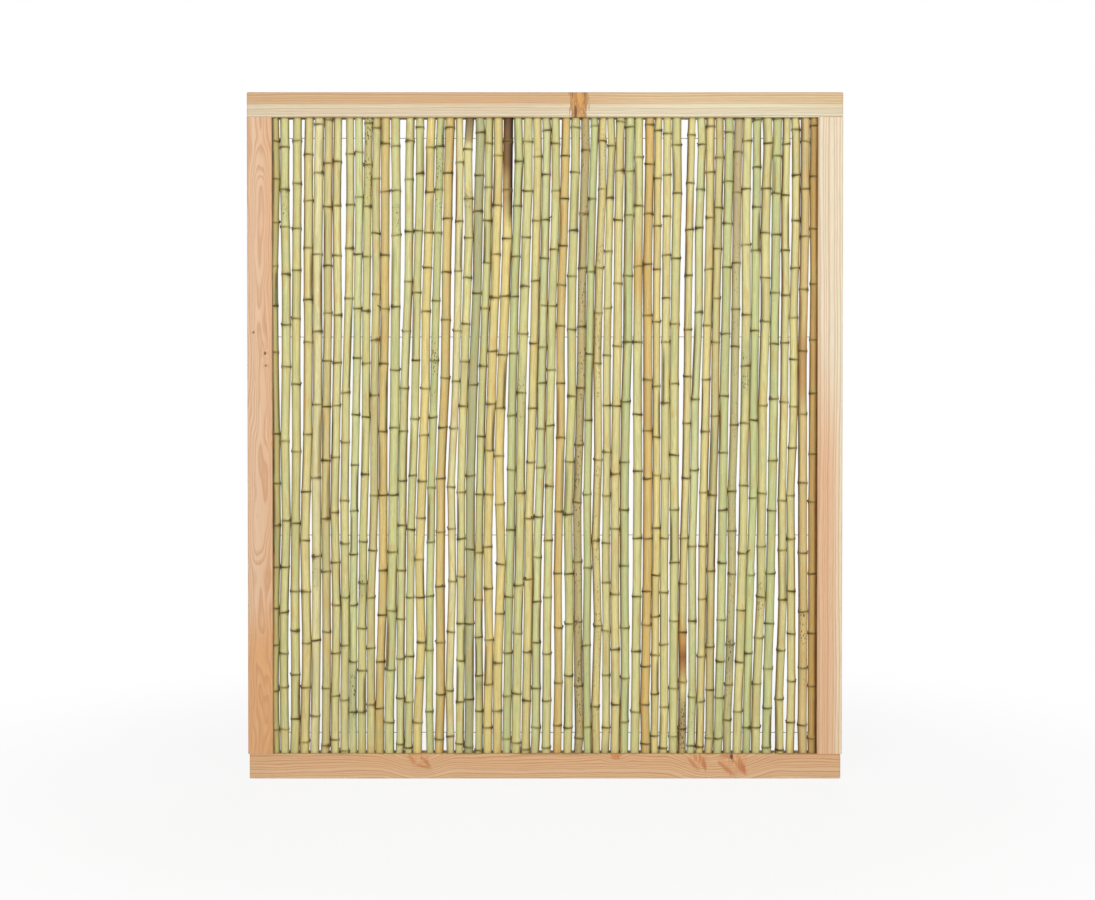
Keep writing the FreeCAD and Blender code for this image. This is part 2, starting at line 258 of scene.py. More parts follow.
@dataclass(frozen=True)
class BambooSkin:
    """Dried bamboo, cut green and left with its own skin: hard, satin and faintly fibrous.

    Real fibres are about 0.3 mm wide, too fine for the picture, so they are drawn coarser.
    """

    name: str = "dried_bamboo_skin"
    fibre_width: float = 1.7
    fibre_length: float = 95.0
    cloud_width: float = 13.0
    cloud_length: float = 60.0
    halo_width: float = 9.0
    scar_width: float = 3.7
    speck_size: float = 4.6
    speck_stretch: float = 0.45
    colony_size: float = 22.0
    hole_radius: float = 1.7
    first_wire: float = 117.0
    wire_pitch: float = 522.0
    relief_depth: float = 0.25
    ripe: str = "#C79A4E"
    ripe_share: float = 0.4
    fresh: str = "#AAB075"
    fresh_share: float = 0.35
    scar: str = "#48371A"
    shade: str = "#86783C"
    shade_share: float = 0.45
    mould: str = "#2A2214"
    streaks: tuple[float, float] = (0.78, 1.17)
    satin: tuple[float, float] = (0.46, 0.62)
    shine: float = 0.3

    def material(self) -> bpy.types.Material:
        """Build the skin's material.

        The waxy rind gives soft long highlights, fine lengthwise fibres, ripening from green to straw in
        clouds, a dark scar line round each node and black mould specks on the canes that stood damp. Painted
        shade darkens the skin round each wire, where the drilled holes would be.

        Returns:
            The material, which reads the canes' skin, grain, ring, scar and mould attributes.
        """
        made, shader, node = new_material(self.name)
        rind = node("Attribute", attribute_name="skin").node
        skin, clean = rind.outputs["Color"], rind.outputs["Alpha"]
        grain = node("Attribute", out="Vector", attribute_name="grain")
        apart = node("Attribute", out="Fac", attribute_name="ring")
        strength = node("Attribute", out="Fac", attribute_name="scar")
        damp = node("Attribute", out="Fac", attribute_name="mould")
        fibre_sizes = (self.fibre_width, self.fibre_width, self.fibre_length)
        fibre = stretched_noise(node, grain, fibre_sizes, 3.0, 0.6)
        cloud_sizes = (self.cloud_width, self.cloud_width, self.cloud_length)
        cloud = stretched_noise(node, grain, cloud_sizes, 2.0)

        # Clouds of ripe and fresh skin where there is no stain, and the fibres' streaks over both.
        ripening = node("MapRange", {0: cloud, 1: 0.5, 2: 0.75, 3: 0.0, 4: self.ripe_share}, **SOFT)
        ripe_share = node("Math", {0: ripening, 1: clean}, operation="MULTIPLY")
        ripe = node("Mix", {0: ripe_share, 6: skin, 7: linear(self.ripe)}, **COLOURS)
        greening = node("MapRange", {0: cloud, 1: 0.5, 2: 0.28, 3: 0.0, 4: self.fresh_share}, **SOFT)
        green_share = node("Math", {0: greening, 1: clean}, operation="MULTIPLY")
        green = node("Mix", {0: green_share, 6: ripe, 7: linear(self.fresh)}, **COLOURS)
        streak = node("MapRange", {0: fibre, 1: 0.3, 2: 0.7, 3: self.streaks[0], 4: self.streaks[1]})
        streaked = node("Mix", {0: 1.0, 6: green, 7: streak}, blend_type="MULTIPLY", **COLOURS)

        # Each node has a dark scar line in a soft brown band.
        halo = node("MapRange", {0: apart, 1: 1.0, 2: self.halo_width, 3: self.shade_share, 4: 0.0}, **SOFT)
        soft_halo = node("Math", {0: halo, 1: strength}, operation="MULTIPLY")
        shaded = node("Mix", {0: soft_halo, 6: streaked, 7: linear(self.shade)}, **COLOURS)
        scar_core = self.scar_width * 0.35
        full_line = node("MapRange", {0: apart, 1: scar_core, 2: self.scar_width, 3: 1.0, 4: 0.0}, **SOFT)
        line = node("Math", {0: full_line, 1: strength}, operation="MULTIPLY")
        scarred = node("Mix", {0: line, 6: shaded, 7: linear(self.scar)}, **COLOURS)

        # Mould grows in specks, and the specks in colonies.
        speck_scale = (1 / self.speck_size, 1 / self.speck_size, self.speck_stretch / self.speck_size)
        dotted = node("VectorMath", {0: grain, 1: speck_scale}, operation="MULTIPLY")
        dots = node("TexVoronoi", {"Vector": dotted, "Scale": 1.0})
        specks = node("MapRange", {0: dots, 1: 0.24, 2: 0.36, 3: 1.0, 4: 0.0})
        colony_sizes = (self.colony_size, self.colony_size, 2 * self.colony_size)
        colonies = stretched_noise(node, grain, colony_sizes, 0.0)
        colony = node("MapRange", {0: colonies, 1: 0.45, 2: 0.6, 3: 0.12, 4: 1.0})
        colonised = node("Math", {0: damp, 1: colony}, operation="MULTIPLY")
        growth = node("Math", {0: specks, 1: colonised}, operation="MULTIPLY")
        mouldy = node("Mix", {0: growth, 6: scarred, 7: linear(self.mould)}, **COLOURS)

        # Painted shade stands in for the drilled holes, which the mesh doesn't have: dark by distance from
        # the nearest wire's line, in the plane across it.
        place = node("SeparateXYZ", {0: node("TexCoord", out="Object")}).node
        lift = node("Math", {0: place.outputs["Z"], 1: self.first_wire * MM}, operation="SUBTRACT")
        half_pitch = self.wire_pitch * MM / 2
        level = node("Math", {0: lift, 1: half_pitch, 2: -half_pitch}, operation="WRAP")
        beside = node("CombineXYZ", {0: place.outputs["Y"], 1: level})
        reach = node("VectorMath", {0: beside}, operation="LENGTH")
        rim = self.hole_radius * MM
        hole_shade = node("MapRange", {0: reach, 1: rim, 2: 1.6 * rim, 3: 0.95, 4: 0.0})
        hole_shaded = node("Mix", {0: hole_shade, 6: mouldy, 7: linear(self.mould)}, **COLOURS)

        satin = node("MapRange", {0: fibre, 1: 0.3, 2: 0.7, 3: self.satin[0], 4: self.satin[1]})
        relief = node("Math", {0: fibre, 1: growth}, operation="SUBTRACT")
        bump = node("Bump", {"Height": relief, "Strength": 0.35, "Distance": self.relief_depth * MM})
        set_inputs(shader, {"Base Color": hole_shaded, "Roughness": satin, "Normal": bump})
        set_inputs(shader, {"Specular IOR Level": self.shine})
        return made


@dataclass(frozen=True)
class Mark:
    """An oval on a timber's face, in millimetres along it and from its middle line."""

    along: float
    across: float
    half_length: float
    half_width: float

    def away(self, node: NodeAdder, wood: bpy.types.NodeSocket, turn: float = 0.0) -> bpy.types.NodeSocket:
        """Measure how far a point is from the oval's middle.

        Args:
            node: Adds a node to the tree.
            wood: The point in the timber.
            turn: How far the oval is turned on the face, in radians.

        Returns:
            The distance, which is 1 on the oval.
        """
        moved = node("VectorMath", {0: wood, 1: (self.along, self.across, 0.0)}, operation="SUBTRACT")
        turned = node("VectorRotate", {"Vector": moved, "Angle": -turn}, rotation_type="Z_AXIS")
        shape = (1 / self.half_length, 1 / self.half_width, 0.0)
        scaled = node("VectorMath", {0: turned, 1: shape}, operation="MULTIPLY")
        return node("VectorMath", {0: scaled}, operation="LENGTH")


@dataclass(frozen=True)
class Knot(Mark):
    """A branch cut through in a timber's face, with how far it pushes the rings aside."""

    core: str = "#C98A4A"
    core_strength: float = 0.5
    rim: str = "#A3522A"
    rim_strength: float = 0.7
    push: float = 0.0
    ragged: float = 0.25


@dataclass(frozen=True)
class Patch(Mark):
    """A soft-edged area of another wood colour on a timber."""

    colour: str
    strength: float
    turn: float = 0.0
    ragged: float = 0.0


@dataclass(frozen=True)
class Softwood:
    """Larch, sawn and planed: pale early wood, orange late wood lines, pinkish heart and cream sap.

    Real fibres are far under 0.1 mm wide, too fine for the picture, so they are drawn coarser.
    """

    name: str
    grain: Grain
    face_middle: float
    pith: tuple[float, float]
    sap: str
    heart: str
    late: str
    heart_from: float
    heart_to: float
    ring_width: float = 4.5
    late_strength: float = 0.6
    wander: float = 7.0
    wander_length: float = 260.0
    wander_width: float = 70.0
    heart_wander: float = 14.0
    fibre_width: float = 1.1
    fibre_length: float = 60.0
    branch_fibre: float = 3.0
    branch_stretch: float = 0.12
    relief_depth: float = 0.3
    knots: tuple[Knot, ...] = ()
    patches: tuple[Patch, ...] = ()

    def material(self) -> bpy.types.Material:
        """Build the timber's material from growth rings about its own pith.

        Planing leaves a dull surface on which the hard late wood stands a little proud, so each ring
        shows as a darker line that swings round the knots, and the end grain shows the rings as arcs.

        Returns:
            The material, solid through the timber.
        """
        made, shader, node = new_material(self.name)
        place = node("SeparateXYZ", {0: node("TexCoord", out="Object")}).node
        along = node("Math", {0: place.outputs[self.grain.value], 1: 1 / MM}, operation="MULTIPLY")
        across = node(
            "Math", {0: place.outputs[self.grain.face_axis], 1: 1 / MM, 2: -self.face_middle},
            operation="MULTIPLY_ADD",
        )
        depth = node("Math", {0: place.outputs["Y"], 1: 1 / MM}, operation="MULTIPLY")
        wood = node("CombineXYZ", {0: along, 1: across, 2: depth})

        # Distance from the pith, which sways along the tree.
        swaying = stretched_noise(node, wood, (self.wander_length, self.wander_width, self.wander_width), 2.0)
        sway = node("MapRange", {0: swaying, 1: 0.25, 2: 0.75, 3: -self.wander, 4: self.wander})
        from_pith = node("VectorMath", {0: wood, 1: (0.0, *self.pith)}, operation="SUBTRACT")
        flat = node("VectorMath", {0: from_pith, 1: (0.0, 1.0, 1.0)}, operation="MULTIPLY")
        radius = node("VectorMath", {0: flat}, operation="LENGTH")
        field = node("Math", {0: radius, 1: sway}, operation="ADD")

        # A branch's own fibres cross the timber's, so its streaks run across the face.
        branch_length = self.branch_fibre / self.branch_stretch
        spokes = stretched_noise(node, wood, (self.branch_fibre, branch_length, self.branch_fibre), 2.0)
        tear = node("MapRange", {0: spokes, 1: 0.3, 2: 0.7, 3: -0.5, 4: 0.5})
        knot_fields = []
        for knot in self.knots:
            away = knot.away(node, wood)
            push = node("MapRange", {0: away, 1: 0.2, 2: 3.4, 3: knot.push, 4: 0.0}, **SOFT)
            field = node("Math", {0: field, 1: push}, operation="ADD")
            torn = node("Math", {0: tear, 1: knot.ragged, 2: away}, operation="MULTIPLY_ADD")
            knot_fields.append((knot, torn))

        # Years of uneven width, each darkening slowly and ending at once.
        year = node("Math", {0: field, 1: self.ring_width * 3}, operation="DIVIDE")
        uneven = node("TexNoise", {"W": year, "Scale": 1.0, "Detail": 1.0}, noise_dimensions="1D")
        years = node("Math", {0: field, 1: self.ring_width}, operation="DIVIDE")
        phase = node("Math", {0: uneven, 1: 2.2, 2: years}, operation="MULTIPLY_ADD")
        season = node("Math", {0: phase}, operation="FRACT")
        summer = node("MapRange", {0: season, 1: 0.3, 2: 0.88, 3: 0.0, 4: 1.0}, **SOFT)
        autumn = node("MapRange", {0: season, 1: 0.9, 2: 1.0, 3: 1.0, 4: 0.0})
        late = node("Math", {0: summer, 1: autumn}, operation="MULTIPLY")
        fibre = stretched_noise(node, wood, (self.fibre_length, self.fibre_width, self.fibre_width), 3.0)

        # Sap to heart across the face, then the patches, the rings, the fibres and the knots.
        edge = node("Math", {0: swaying, 1: self.heart_wander, 2: across}, operation="MULTIPLY_ADD")
        middle = self.heart_wander / 2
        hearted = node("MapRange", {0: edge, 1: self.heart_from + middle, 2: self.heart_to + middle}, **SOFT)
        colour = node("Mix", {0: hearted, 6: linear(self.sap), 7: linear(self.heart)}, **COLOURS)
        for patch in self.patches:
            away = patch.away(node, wood, patch.turn)
            torn = node("Math", {0: tear, 1: patch.ragged, 2: away}, operation="MULTIPLY_ADD")
            share = node("MapRange", {0: torn, 1: 0.5, 2: 1.15, 3: patch.strength, 4: 0.0}, **SOFT)
            colour = node("Mix", {0: share, 6: colour, 7: linear(patch.colour)}, **COLOURS)
        lines = node("Math", {0: late, 1: self.late_strength}, operation="MULTIPLY")
        ringed = node("Mix", {0: lines, 6: colour, 7: linear(self.late)}, **COLOURS)
        streak = node("MapRange", {0: fibre, 1: 0.3, 2: 0.7, 3: 0.9, 4: 1.08})
        colour = node("Mix", {0: 1.0, 6: ringed, 7: streak}, blend_type="MULTIPLY", **COLOURS)
        spoke = node("MapRange", {0: spokes, 1: 0.3, 2: 0.7, 3: 0.6, 4: 1.22})
        ragged = node("MapRange", {0: spokes, 1: 0.35, 2: 0.6, 3: 0.35, 4: 1.0})
        for knot, away in knot_fields:
            inside = node("MapRange", {0: away, 1: 0.7, 2: 1.05, 3: knot.core_strength, 4: 0.0}, **SOFT)
            branch = node("Mix", {0: 1.0, 6: linear(knot.core), 7: spoke}, blend_type="MULTIPLY", **COLOURS)
            cored = node("Mix", {0: inside, 6: colour, 7: branch}, **COLOURS)
            off_rim = node("Math", {0: away, 1: 0.9}, operation="SUBTRACT")
            by_rim = node("Math", {0: off_rim}, operation="ABSOLUTE")
            rim = node("MapRange", {0: by_rim, 1: 0.03, 2: 0.2, 3: knot.rim_strength, 4: 0.0}, **SOFT)
            bark = node("Math", {0: rim, 1: ragged}, operation="MULTIPLY")
            colour = node("Mix", {0: bark, 6: cored, 7: linear(knot.rim)}, **COLOURS)

        dull = node("MapRange", {0: fibre, 1: 0.3, 2: 0.7, 3: 0.55, 4: 0.72})
        relief = node("Math", {0: fibre, 1: late}, operation="ADD")
        bump = node("Bump", {"Height": relief, "Strength": 0.3, "Distance": self.relief_depth * MM})
        set_inputs(shader, {"Base Color": colour, "Roughness": dull, "Normal": bump})
        return made


@dataclass(frozen=True)
class ZincedSteel:
    """Steel wire drawn and hot-dip galvanised: a soft grey shine with a faint cloudy bloom."""

    name: str
    zinc: str = "#8E9196"
    bloom: str = "#6B6C6D"
    bloom_size: float = 3.0
    dullest: float = 0.55
    brightest: float = 0.32

    def material(self) -> bpy.types.Material:
        """Build the zinc coat's material.

        Zinc weathers in clouds, so dull grey and brighter patches follow each other along the metal.

        Returns:
            The material.
        """
        made, shader, node = new_material(self.name)
        scale = 1 / (self.bloom_size * MM)
        cloud = node("TexNoise", {"Vector": node("TexCoord", out="Object"), "Scale": scale, "Detail": 3.0})
        share = node("MapRange", {0: cloud, 1: 0.35, 2: 0.65})
        colour = node("Mix", {0: share, 6: linear(self.zinc), 7: linear(self.bloom)}, **COLOURS)
        rough = node("MapRange", {0: share, 1: 0.0, 2: 1.0, 3: self.brightest, 4: self.dullest})
        set_inputs(shader, {"Metallic": 1.0, "Base Color": colour, "Roughness": rough})
        return made


@dataclass(frozen=True)
class ShadeFlank:
    """Painted shade on the side of a cane that faces the next cane or a stile: a darker strip of skin."""

    side: int
    strength: float
    colour: str = "#8A6430"
    spread: float = 0.5
    front_turn: float = 0.45

    def share(self, angle: float) -> float:
        """Find how much painted shade darkens the skin at an angle round the cane.

        Args:
            angle: The angle from the panel's right, in radians.

        Returns:
            A share from 0 to 1.
        """
        middle = -self.front_turn if self.side > 0 else math.pi + self.front_turn
        return self.strength * bell(turn_from(middle, angle), self.spread)


# Painted shadow on the outermost canes' sides next to the stiles, which shade them.
STILE_SHADE_FLANKS: dict[int, ShadeFlank] = {
    1: ShadeFlank(-1, 0.95, "#3A2C12", 0.35, 1.2),
    56: ShadeFlank(1, 1.0, "#3E1A0A", 0.6, 0.95),
}


@dataclass(frozen=True)
class Stain:
    """A stretch of one cane that is darker or mouldier than its skin, in millimetres of height."""

    cane: int
    low: float
    high: float
    colour: str
    strength: float
    mould: float = 0.0
    fade: float = 30.0
    side: int = 0
    side_spread: float = 0.8
    side_turn: float = 0.6

    def reach(self, height: float, top: float) -> float:
        """Find how much of the stain there is at a height.

        Args:
            height: The height.
            top: The cane's top, through which a stain doesn't fade.

        Returns:
            A share from 0 to 1.
        """
        rise = smooth_step(height, self.low - self.fade, self.low + self.fade)
        if self.high >= top:
            return rise
        return rise * (1 - smooth_step(height, self.high - self.fade, self.high + self.fade))

    def depth(self, angle: float) -> float:
        """Find how deep the stain is at an angle round the cane, where it may keep to one side, which on cane
        24 is painted shade.
        """
        if not self.side:
            return self.strength
        shade_flank = ShadeFlank(self.side, self.strength, spread=self.side_spread, front_turn=self.side_turn)
        return shade_flank.share(angle)


STAINS: tuple[Stain, ...] = (
    Stain(2, 1470, 1567, "#8F8A50", 0.15, mould=0.8, fade=20),
    Stain(5, 518, 594, "#7E7444", 0.25, mould=1.0, fade=16),
    Stain(9, 144, 277, "#7E7C4C", 0.25, mould=1.0, fade=20),
    Stain(10, 470, 528, "#7E7C4C", 0.3, mould=1.0, fade=14),
    Stain(10, 1520, 1748, "#8C7A40", 0.25, mould=1.0, fade=40),
    Stain(13, 1439, 1504, "#8F8A50", 0.15, mould=0.7, fade=20),
    Stain(17, 1471, 1706, "#8F9058", 0.1, mould=0.7, fade=40),
    Stain(17, 990, 1170, "#8F9058", 0.2, mould=0.8),
    Stain(20, 1676, 1748, "#5E3824", 0.9, fade=16),
    Stain(20, 1494, 1541, "#8F8A50", 0.15, mould=0.9, fade=12),
    Stain(22, 209, 256, "#7A6440", 0.5, mould=0.9, fade=14),
    Stain(24, 1484, 1610, "#A8804A", 0.7, fade=8),
    Stain(24, 1606, 1748, "#6E4827", 0.92, fade=8),
    Stain(24, 1716, 1748, "#3A2414", 0.85, fade=8),
    # Painted shade: the near-black right side over cane 24's real dark stain.
    Stain(24, 1480, 1748, "#2E170B", 1.0, fade=8, side=1),
    Stain(26, 930, 1060, "#8F8A50", 0.2, mould=0.55),
    Stain(27, 1300, 1371, "#8F8A50", 0.15, mould=0.9, fade=14),
    Stain(32, 50, 1748, "#8E7F58", 0.3, mould=0.75),
    Stain(34, 50, 1748, "#B4A165", 0.2, mould=0.5),
    Stain(35, 50, 95, "#3E2B18", 0.8, fade=14),
    Stain(38, 1240, 1400, "#CF9A4A", 0.6, fade=60),
    Stain(43, 258, 400, "#B5782E", 0.75, fade=36),
    Stain(43, 286, 334, "#7A4018", 0.75, mould=0.9, fade=14),
    Stain(43, 50, 196, "#6E4C2A", 0.6, mould=1.0, fade=14),
    Stain(44, 130, 380, "#9AA06A", 0.2, mould=0.4, fade=40),
    Stain(46, 300, 410, "#A08A50", 0.2, mould=0.5),
    Stain(48, 50, 1748, "#C8BC82", 0.5, mould=0.35),
    Stain(48, 1360, 1748, "#B49A78", 0.55, fade=90),
    Stain(48, 288, 374, "#6E684A", 0.3, mould=0.9, fade=20),
    Stain(49, 1010, 1150, "#7E8C60", 0.3, mould=0.8),
    Stain(51, 430, 526, "#8F8A50", 0.2, mould=1.0, fade=20),
    Stain(55, 259, 535, "#A98A50", 0.2, mould=0.8, fade=40),
    Stain(55, 996, 1166, "#A2703C", 0.65, fade=50),
    Stain(56, 50, 1748, "#A2783C", 0.5),
)

# Longer bits of branch that were left on: the cane, about how high, and the direction round it.
TWIGS: tuple[tuple[int, float, float], ...] = ((28, 1504.0, -0.75), (12, 1180.0, 3.8), (49, 560.0, -0.7))


@dataclass
class CaneAxis:
    """One cane as the solid gives it: heights, centres and radii at its ends and nodes, in millimetres."""

    number: int
    heights: list[float]
    centres: list[tuple[float, float]]
    radii: list[float]

    def at(self, height: float) -> tuple[float, float, float]:
        """Find the cane's centre and radius at a height.

        Args:
            height: Height in millimetres.

        Returns:
            X and Y of the centre, and the radius.
        """
        upper = 1
        while upper < len(self.heights) - 1 and self.heights[upper] < height:
            upper += 1
        low, high = self.heights[upper - 1], self.heights[upper]
        share = (height - low) / (high - low)
        (ax, ay), (bx, by) = self.centres[upper - 1], self.centres[upper]
        radius = self.radii[upper - 1] + (self.radii[upper] - self.radii[upper - 1]) * share
        return ax + (bx - ax) * share, ay + (by - ay) * share, radius


class SkinMesh:
    """A growing mesh whose points carry a skin colour, a place in the grain, a ring distance and mould."""

    sharp_from = 55.0

    def __init__(self) -> None:
        """Start with no points."""
        self.points: list[Vector] = []
        self.faces: list[tuple[int, ...]] = []
        self.skin: list[float] = []
        self.grain: list[float] = []
        self.gaps: list[float] = []
        self.scars: list[float] = []
        self.mould: list[float] = []

    def ring(
        self, points: list[Vector], centre: tuple[float, float], offset: Vector, gap: float,
        scars: list[float], colours: list[tuple],
    ) -> range:
        """Add a ring of points.

        Args:
            points: Their places in millimetres.
            centre: X and Y of the cane's centre there.
            offset: The cane's shift in the grain's own space.
            gap: Their distance from the nearest node.
            scars: How dark that node's scar is at each, from 0 to 1.
            colours: A linear colour and a mould amount for each.

        Returns:
            The points' numbers.
        """
        first = len(self.points)
        for point, scar, (colour, mould) in zip(points, scars, colours):
            self.points.append(point * MM)
            self.grain.extend(Vector((point.x - centre[0], point.y - centre[1], point.z)) + offset)
            self.skin.extend(colour)
            self.gaps.append(gap)
            self.scars.append(scar)
            self.mould.append(mould)
        return range(first, len(self.points))

    def tube(self, rings: list[range]) -> None:
        """Join rings of as many points with bands of faces, and close both ends.

        Args:
            rings: The rings, one after the other.
        """
        for lower, upper in zip(rings, rings[1:]):
            for k in range(len(lower)):
                after = (k + 1) % len(lower)
                self.faces.append((lower[k], lower[after], upper[after], upper[k]))
        self.faces.append(tuple(reversed(rings[0])))
        self.faces.append(tuple(rings[-1]))

    def mesh(self, name: str) -> bpy.types.Mesh:
        """Make the Blender mesh.

        Args:
            name: Its name.

        Returns:
            The mesh, with the attributes that the skin's material reads.
        """
        made = bpy.data.meshes.new(name)
        made.from_pydata([tuple(point) for point in self.points], [], self.faces)
        for title, kind, values, key in (
            ("skin", "FLOAT_COLOR", self.skin, "color"),
            ("grain", "FLOAT_VECTOR", self.grain, "vector"),
            ("ring", "FLOAT", self.gaps, "value"),
            ("scar", "FLOAT", self.scars, "value"),
            ("mould", "FLOAT", self.mould, "value"),
        ):
            made.attributes.new(title, kind, "POINT").data.foreach_set(key, values)
        return made


class CaneLook:
    """What chance gives one cane: how its nodes stand out, where its buds are, its tones, its dirt and its
    painted side shade.
    """

    def __init__(self, row: "CaneRow", number: int, count: int, chance: random.Random) -> None:
        """Draw a cane's looks.

        Args:
            row: The row, with the ranges to draw from.
            number: The cane's number.
            count: How many nodes it has.
            chance: The cane's own random numbers.
        """
        nodes, lengths = range(count), range(count + 1)
        self.row = row
        self.swells = [chance.uniform(*row.swells) for _ in nodes]
        self.scars = [chance.uniform(*row.scar_depths) for _ in nodes]
        across, deep, along = row.grain_shifts
        self.offset = Vector((number * across, number * deep, chance.uniform(0, along)))
        side = chance.choice((0, 1))
        self.buds = []
        for place in lengths:
            turn = chance.uniform(-row.bud_play, row.bud_play) - row.bud_front
            self.buds.append(turn if (side + place) % 2 else math.pi - turn)
        self.waves = [(chance.uniform(*row.scar_waves), chance.uniform(0, math.tau)) for _ in nodes]
        self.tilts = [chance.uniform(-row.scar_tilt, row.scar_tilt) for _ in nodes]
        self.shades = [chance.uniform(*row.shades) for _ in lengths]
        self.oval = chance.uniform(0, math.tau)
        self.lean = chance.uniform(0, math.tau)
        self.tone = linear(ROW_TONES[(number - 1) % len(ROW_TONES)].value)
        self.other = linear(chance.choice(row.ripenings).value)
        self.dirt = [chance.choice(row.dirt_levels) for _ in lengths]
        self.soil = linear(chance.choice(row.soils))
        # Painted side shade: how strong it is on the left and on the right of each length between nodes.
        self.sides = [[chance.uniform(*row.side_shade_levels) for _ in range(2)] for _ in lengths]
        self.spots = [chance.choice(row.spot_levels) for _ in nodes]
        # Painted shade on one side of the cane; the outermost canes take the stiles' painted shadow.
        self.shade_flank = STILE_SHADE_FLANKS.get(number) or ShadeFlank(chance.choice((-1, 1)), chance.choice(row.shade_flank_levels))

    def tint(self, angle: float, below: int, near: int, gap: float, share: float) -> tuple[float, ...]:
        """Colour a point of the skin with its painted side shade, apart from its stains.

        Args:
            angle: The angle from the panel's right, in radians.
            below: How many nodes lie below the point.
            near: The number of the nearest node.
            gap: The height above that node, in millimetres.
            share: The height as a share of the length between two nodes.

        Returns:
            The linear colour.
        """
        row = self.row
        tint = mixed(self.tone, self.other, row.lean_share * (1 + math.sin(angle - self.lean)))
        # Painted shade on one side of the cane, towards a neighbour or a stile.
        tint = mixed(tint, linear(self.shade_flank.colour), self.shade_flank.share(angle))
        # Painted shade at both sides of the cane, where it faces its neighbours.
        side_shading = self.sides[below][math.cos(angle) > 0] * smooth_step(abs(math.cos(angle)), row.side_shade_from, 1.0)
        tint = mixed(tint, linear(row.side_shade_colour), side_shading)
        spot = self.spots[near] * bell(turn_from(self.buds[near + 1], angle), row.bud_spot)
        tint = mixed(tint, linear(row.bark), spot * (1 - smooth_step(abs(gap), 2, 9)))
        if below:
            line = self.dirt[below] * bell(turn_from(self.buds[below], angle), row.dirt_spread)
            line *= smooth_step(share, 0.0, 0.06) * (1 - smooth_step(share, 0.7, 1.0))
            tint = mixed(tint, self.soil, line)
        return tuple(channel * self.shades[below] for channel in tint[:3]) + (1.0,)


